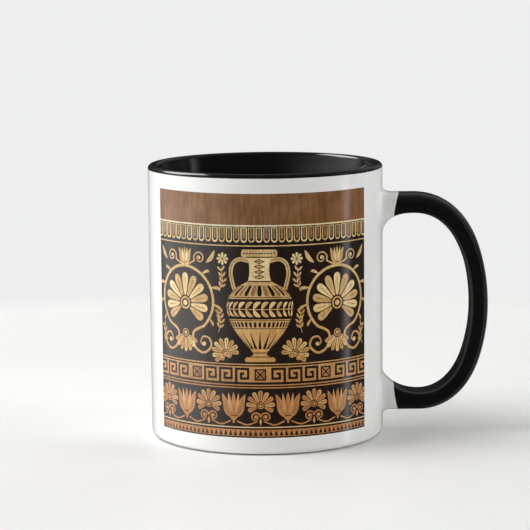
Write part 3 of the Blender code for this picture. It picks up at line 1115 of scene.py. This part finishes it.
# The print's inks: name, low and high tone of the mottling, how strong the flecks are, and how
# far the tone fades from cream above to orange below
INKS = (
    ("ink_ground", (0.0135, 0.0068, 0.0046), (0.0215, 0.0110, 0.0074), 0.0, 0.0),
    ("ink_strip", (0.163, 0.072, 0.028), (0.283, 0.138, 0.060), 0.25, 0.0),
    ("ink_clay", (0.45, 0.255, 0.105), (0.66, 0.430, 0.205), 0.6, 1.0),
    ("ink_pale", (0.60, 0.400, 0.180), (0.78, 0.600, 0.340), 0.5, 1.0),
    ("ink_cream", (0.72, 0.56, 0.31), (0.84, 0.72, 0.49), 0.3, 0.5),
    ("ink_umber", (0.060, 0.034, 0.019), (0.120, 0.070, 0.038), 0.0, 0.0),
    ("ink_wash", (0.200, 0.098, 0.037), (0.330, 0.175, 0.072), 0.3, 1.0),
)
FLECK_INK = (0.085, 0.047, 0.024)
# The light inks' tint by height in metres up the cup
INK_FADE = (
    (0.010, (0.86, 0.62, 0.48)),
    (0.024, (0.88, 0.68, 0.54)),
    (0.034, (1.08, 0.98, 0.76)),
    (0.044, (1.12, 1.08, 0.96)),
    (0.056, (1.18, 1.26, 1.26)),
    (0.085, (1.18, 1.28, 1.28)),
)
FADE_PEAK = 1.3


def ink_material(name, low, high, flecks, fades):
    """Fired ink under clear gloss, with cloudy mottling, fine upright streaks and dark flecks."""
    material, tree, shader = new_material(name, 0.12)
    place = surface_place(tree)
    streaks = noise(tree, surface_place(tree, (1.0, 1.0, 0.12)), 900.0, 4.0, 0.6)
    mottle = mix(tree, 0.5, noise(tree, place, 150.0, 6.0, 0.62), streaks)
    tone = ramp(tree, mottle, ((0.38, low), (0.62, high)))
    drift = ((0.35, (1.0, 0.94, 0.82)), (0.65, (0.98, 1.03, 1.10)))
    tone = multiply(tree, tone, ramp(tree, noise(tree, place, 24.0, 2.0), drift))
    if fades > 0.0:
        height = add_node(tree, "SeparateXYZ", {0: place}).outputs["Z"]
        share = calculate(tree, "DIVIDE", height, RIM_HEIGHT)
        stops = [(level / RIM_HEIGHT, tuple(part / FADE_PEAK for part in tint)) for level, tint in INK_FADE]
        tint = multiply(tree, ramp(tree, share, stops), (FADE_PEAK, FADE_PEAK, FADE_PEAK))
        tone = mix(tree, fades, tone, tint, "MULTIPLY")
    specks = ramp(tree, noise(tree, place, 1300.0, 3.0, 0.6), ((0.60, 0.0), (0.68, flecks)))
    glaze(tree, shader, mix(tree, specks, tone, FLECK_INK), 60.0, 0.10, 0.15)
    return material


def on_print(spot, rise):
    """A place on the print bent round the cup, at a rise above the glaze, and the way straight out."""
    height = PANEL_BOTTOM + spot.imag / 1000.0
    turn = PANEL_TURN - math.pi / 2.0 + spot.real / (1000.0 * PANEL_RADIUS)
    way = Vector((math.cos(turn), math.sin(turn), 0.0))
    return Vector((CUP_X, 0.0, height)) + way * (outer_radius(height) + rise), way


def print_front():
    """The drawn front: its points, flat, its triangles and the ink of each."""
    places = {}
    triangles = []
    inks = []
    bottom = 0.0
    for height, ground, fill in BANDS:
        top = PRINT_HEIGHT if height is None else bottom + height
        spots, corners, band_inks = band_mesh(bottom, top, ground, fill(bottom, top) if fill else [])
        keys = [(round(spot.real, 4), round(spot.imag, 4)) for spot in spots]
        numbers = [places.setdefault(key, len(places)) for key in keys]
        for triangle, band_ink in zip(corners, band_inks):
            merged = [numbers[corner] for corner in triangle]
            if len(set(merged)) == 3:
                triangles.append(merged)
                inks.append(int(band_ink))
        bottom = top
    return [complex(*key) for key in places], triangles, inks


def print_back(edge):
    """The plain back, flat: the edge's own points, a coarse grid inside it and their triangles."""
    step = 2.0 * SHEET_STEP
    points = list(edge)
    for column in range(-BACK_COLUMNS, BACK_COLUMNS + 1):
        points += [complex(column * step, row * step) for row in range(1, BACK_ROWS + 1)]
    return triangulated(points, loop_edges(0, len(edge)))


def make_print():
    """The print as a thin closed sheet: a drawn front, a plain back within the glaze and an edge."""
    spots, triangles, inks = print_front()
    middle = PRINT_HEIGHT / 2.0 * 1j
    edge = []
    for number, spot in enumerate(spots):
        side_gap = HALF_WIDTH - abs(spot.real)
        end_gap = middle.imag - abs(spot.imag - middle.imag)
        if min(side_gap, end_gap) < EDGE_DISTANCE:
            edge.append(number)
    edge.sort(key=lambda number: cmath.phase(spots[number] - middle))
    wider = [middle + (spots[number] - middle) * SHEET_STRETCH for number in edge]
    back_spots, back_triangles = print_back(wider)
    start = len(spots)
    faces = list(triangles)
    maps = [[PRINT_MAP * (spots[corner] + HALF_WIDTH) for corner in triangle] for triangle in triangles]
    back_map = [complex(BACK_MAP + spot.real * BACK_MAP_SCALE, spot.imag * PRINT_MAP) for spot in back_spots]
    for triangle in back_triangles:
        corners = triangle[::-1]
        faces.append([start + corner for corner in corners])
        maps.append([back_map[corner] for corner in corners])
    edge_map = PRINT_MAP * 2.0 * HALF_WIDTH
    for number in range(len(edge)):
        after = (number + 1) % len(edge)
        faces.append([edge[number], start + number, start + after, edge[after]])
        low = edge_map * number / len(edge)
        high = edge_map * (number + 1) / len(edge)
        maps.append([low + EDGE_MAP_LOW, low + EDGE_MAP_HIGH, high + EDGE_MAP_HIGH, high + EDGE_MAP_LOW])
    points = [on_print(spot, INK_RISE) for spot in spots]
    points += [on_print(spot, -SHEET_BEDDING) for spot in back_spots]
    mesh = bpy.data.meshes.new("mug_print")
    mesh.from_pydata([point for point, _ in points], [], faces)
    for ink in INKS:
        mesh.materials.append(ink_material(*ink))
    mesh.polygons.foreach_set("material_index", inks + [STRIP] * (len(faces) - len(inks)))
    flat = [value for face_map in maps for spot in face_map for value in (spot.real, spot.imag)]
    mesh.uv_layers.new(name="OFBake").data.foreach_set("uv", flat)
    mesh.shade_smooth()
    ways = [way if number < start else -way for number, (_, way) in enumerate(points)]
    mesh.normals_split_custom_set_from_vertices(ways)
    mesh.update()
    sheet = add_object("mug_print", mesh)
    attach(sheet, "root")


# The stage: floor, surroundings and camera

FLOOR_RADIUS = 0.50
FLOOR_SIDES = 96
FLOOR_DROP = 0.0002
FLOOR_FADE = (0.285, 0.345)


def make_floor():
    """A pale round table top whose edge melts into the backdrop."""
    mesh = bpy.data.meshes.new("floor")
    corners = []
    for step in range(FLOOR_SIDES):
        turn = 2.0 * math.pi * step / FLOOR_SIDES
        corners.append((CUP_X + FLOOR_RADIUS * math.cos(turn), FLOOR_RADIUS * math.sin(turn), -FLOOR_DROP))
    mesh.from_pydata(corners, [], [tuple(range(FLOOR_SIDES))])
    floor = add_object("floor", mesh)
    material, tree, shader = new_material("floor", 0.45)
    place = add_node(tree, "TexCoord").outputs["Object"]
    centred = add_node(tree, "VectorMath", {0: place, 1: (CUP_X, 0.0, 0.0)}, operation="SUBTRACT").outputs[0]
    distance = add_node(tree, "VectorMath", {0: centred}, operation="LENGTH").outputs["Value"]
    reach = {"Value": distance, "From Min": FLOOR_FADE[0], "From Max": FLOOR_FADE[1]}
    fade = add_node(tree, "MapRange", reach, interpolation_type="SMOOTHSTEP").outputs["Result"]
    tones = ((0.3, (0.86, 0.86, 0.85)), (0.7, (0.89, 0.89, 0.885)))
    feed(tree, shader, {"Base Color": ramp(tree, noise(tree, place, 9.0), tones)})
    shader.inputs["Specular IOR Level"].default_value = 0.25
    clear = add_node(tree, "BsdfTransparent").outputs[0]
    blend = add_node(tree, "MixShader", {0: fade, 1: shader.outputs[0], 2: clear})
    feed(tree, tree.nodes["Material Output"], {"Surface": blend.outputs[0]})
    mesh.materials.append(material)
    floor.visible_glossy = False


BACKDROP = (0.855, 0.855, 0.858)
AMBIENT = (0.258, 0.258, 0.258)
# What the gloss mirrors near the horizon, as brightness by degrees from the front towards the
# handle, and how much of that is left by elevation
MIRRORED = (
    (-180.0, 0.03),
    (-168.0, 0.03),
    (-150.0, 0.12),
    (-130.0, 0.25),
    (-112.0, 1.90),
    (-72.0, 1.90),
    (-64.0, 1.47),
    (-54.0, 1.16),
    (-46.0, 0.87),
    (-38.0, 0.60),
    (-30.0, 0.33),
    (-22.0, 0.20),
    (-8.0, 0.08),
    (60.0, 0.07),
    (77.0, 0.10),
    (82.0, 1.00),
    (86.0, 2.30),
    (88.5, 1.60),
    (92.0, 0.12),
    (120.0, 0.12),
    (136.0, 0.26),
    (152.0, 0.34),
    (162.0, 0.20),
    (170.0, 0.03),
)
MIRRORED_PEAK = 2.5
HORIZON_SHARE = (
    (-90.0, 1.0),
    (-7.0, 1.0),
    (0.0, 0.55),
    (6.0, 0.62),
    (12.0, 0.75),
    (20.0, 0.5),
    (30.0, 0.25),
    (50.0, 0.0),
)
# The dome above: its brightness by degrees from the front over the top to the back, and how
# much of that there is by elevation
DOME = (
    (0.0, 0.04),
    (26.0, 0.08),
    (45.0, 0.09),
    (66.0, 0.13),
    (86.0, 0.21),
    (105.0, 0.25),
    (123.0, 0.32),
    (141.0, 0.40),
    (155.0, 0.22),
    (168.0, 0.05),
)
DOME_SHARE = ((0.0, 0.0), (12.0, 0.40), (28.0, 1.0))


def angle_ramp(tree, angle, reach, stops, peak=1.0):
    """Brightness by an angle, from stops in degrees that lie within the reach either way of 0."""
    ends = {"From Min": -math.radians(reach), "From Max": math.radians(reach)}
    share = add_node(tree, "MapRange", {"Value": angle, **ends}).outputs["Result"]
    places = [((degrees + reach) / (2.0 * reach), value / peak) for degrees, value in stops]
    return multiply(tree, ramp(tree, share, places), (peak, peak, peak))


def make_world():
    """The studio: even light for what is matt, and what the gloss mirrors round it and above."""
    world = bpy.data.worlds.new("studio")
    bpy.context.scene.world = world
    world.use_nodes = True
    tree = world.node_tree
    tree.nodes.clear()
    direction = add_node(tree, "TexCoord").outputs["Generated"]
    across, back, up = add_node(tree, "SeparateXYZ", {0: direction}).outputs
    forward = calculate(tree, "MULTIPLY", back, -1.0)
    azimuth = calculate(tree, "ARCTAN2", across, forward)
    arch = calculate(tree, "ARCTAN2", up, forward)
    elevation = calculate(tree, "ARCSINE", up)
    ring = angle_ramp(tree, azimuth, 180.0, MIRRORED, MIRRORED_PEAK)
    horizon = multiply(tree, ring, angle_ramp(tree, elevation, 90.0, HORIZON_SHARE))
    dome = angle_ramp(tree, arch, 180.0, DOME)
    dome = multiply(tree, dome, angle_ramp(tree, elevation, 90.0, DOME_SHARE))
    path = add_node(tree, "LightPath").outputs
    ambient = add_node(tree, "Background", {"Color": AMBIENT}).outputs[0]
    gloss = add_node(tree, "Background", {"Color": mix(tree, 1.0, horizon, dome, "ADD")}).outputs[0]
    backdrop = add_node(tree, "Background", {"Color": BACKDROP}).outputs[0]
    lighting = add_node(tree, "MixShader", {0: path["Is Glossy Ray"], 1: ambient, 2: gloss}).outputs[0]
    blend = add_node(tree, "MixShader", {0: path["Is Camera Ray"], 1: lighting, 2: backdrop}).outputs[0]
    add_node(tree, "OutputWorld", {"Surface": blend})


LIGHT_DISTANCE = 1.40
# Soft boxes: name, degrees from the front towards the handle, elevation, size, brightness
SOFT_BOXES = (
    ("left_front_light", -50.0, 12.0, 0.7, 2.44),
    ("left_light", -75.0, 20.0, 0.6, 3.44),
    ("high_left_light", -80.0, 60.0, 0.6, 7.77),
    ("left_back_light", -105.0, 45.0, 0.5, 2.87),
    ("left_side_light", -118.0, 4.0, 0.5, 5.00),
    ("far_left_light", -145.0, 20.0, 0.7, 2.60),
    ("right_light", 85.0, 20.0, 0.7, 5.66),
    ("far_right_light", 140.0, 20.0, 0.7, 3.90),
)
# The window that the lip mirrors, in the same order
WINDOW = ("window", -112.0, 43.0, 0.85, 13.0)


def add_light(name, azimuth, elevation, size, brightness):
    """A square light aimed at the cup. Its energy makes its colour the brightness that is seen."""
    lamp = bpy.data.lights.new(name, "AREA")
    lamp.size = size
    lamp.energy = math.pi * size**2
    lamp.color = (brightness, brightness, brightness)
    box = add_object(name, lamp)
    turn = math.radians(azimuth)
    rise = math.radians(elevation)
    away = Vector((math.sin(turn) * math.cos(rise), -math.cos(turn) * math.cos(rise), math.sin(rise)))
    box.location = Vector((CUP_X, 0.0, RIM_HEIGHT / 2.0)) + away * LIGHT_DISTANCE
    box.rotation_euler = away.to_track_quat("Z", "Y").to_euler()
    return box


def make_lights():
    """Soft boxes that light the cup but leave no mark on its gloss, and the window on the lip."""
    for soft_box in SOFT_BOXES:
        add_light(*soft_box).visible_glossy = False
    add_light(*WINDOW).visible_diffuse = False


def make_camera():
    camera = add_object("camera", bpy.data.cameras.new("camera"))
    camera.data.sensor_width = SENSOR
    camera.data.sensor_fit = "HORIZONTAL"
    camera.data.lens = LENS
    turn = Matrix.Rotation(CAMERA_YAW, 4, "Z")
    tilt = Matrix.Rotation(math.radians(90.0) + CAMERA_PITCH, 4, "X")
    roll = Matrix.Rotation(CAMERA_ROLL, 4, "Z")
    camera.matrix_world = Matrix.Translation((CUP_X, -CAMERA_DISTANCE, CAMERA_HEIGHT)) @ turn @ tilt @ roll
    bpy.context.scene.camera = camera
    bpy.context.scene.view_settings.view_transform = "Standard"


make_camera()
make_world()
make_lights()
make_floor()
make_mug()
make_print()
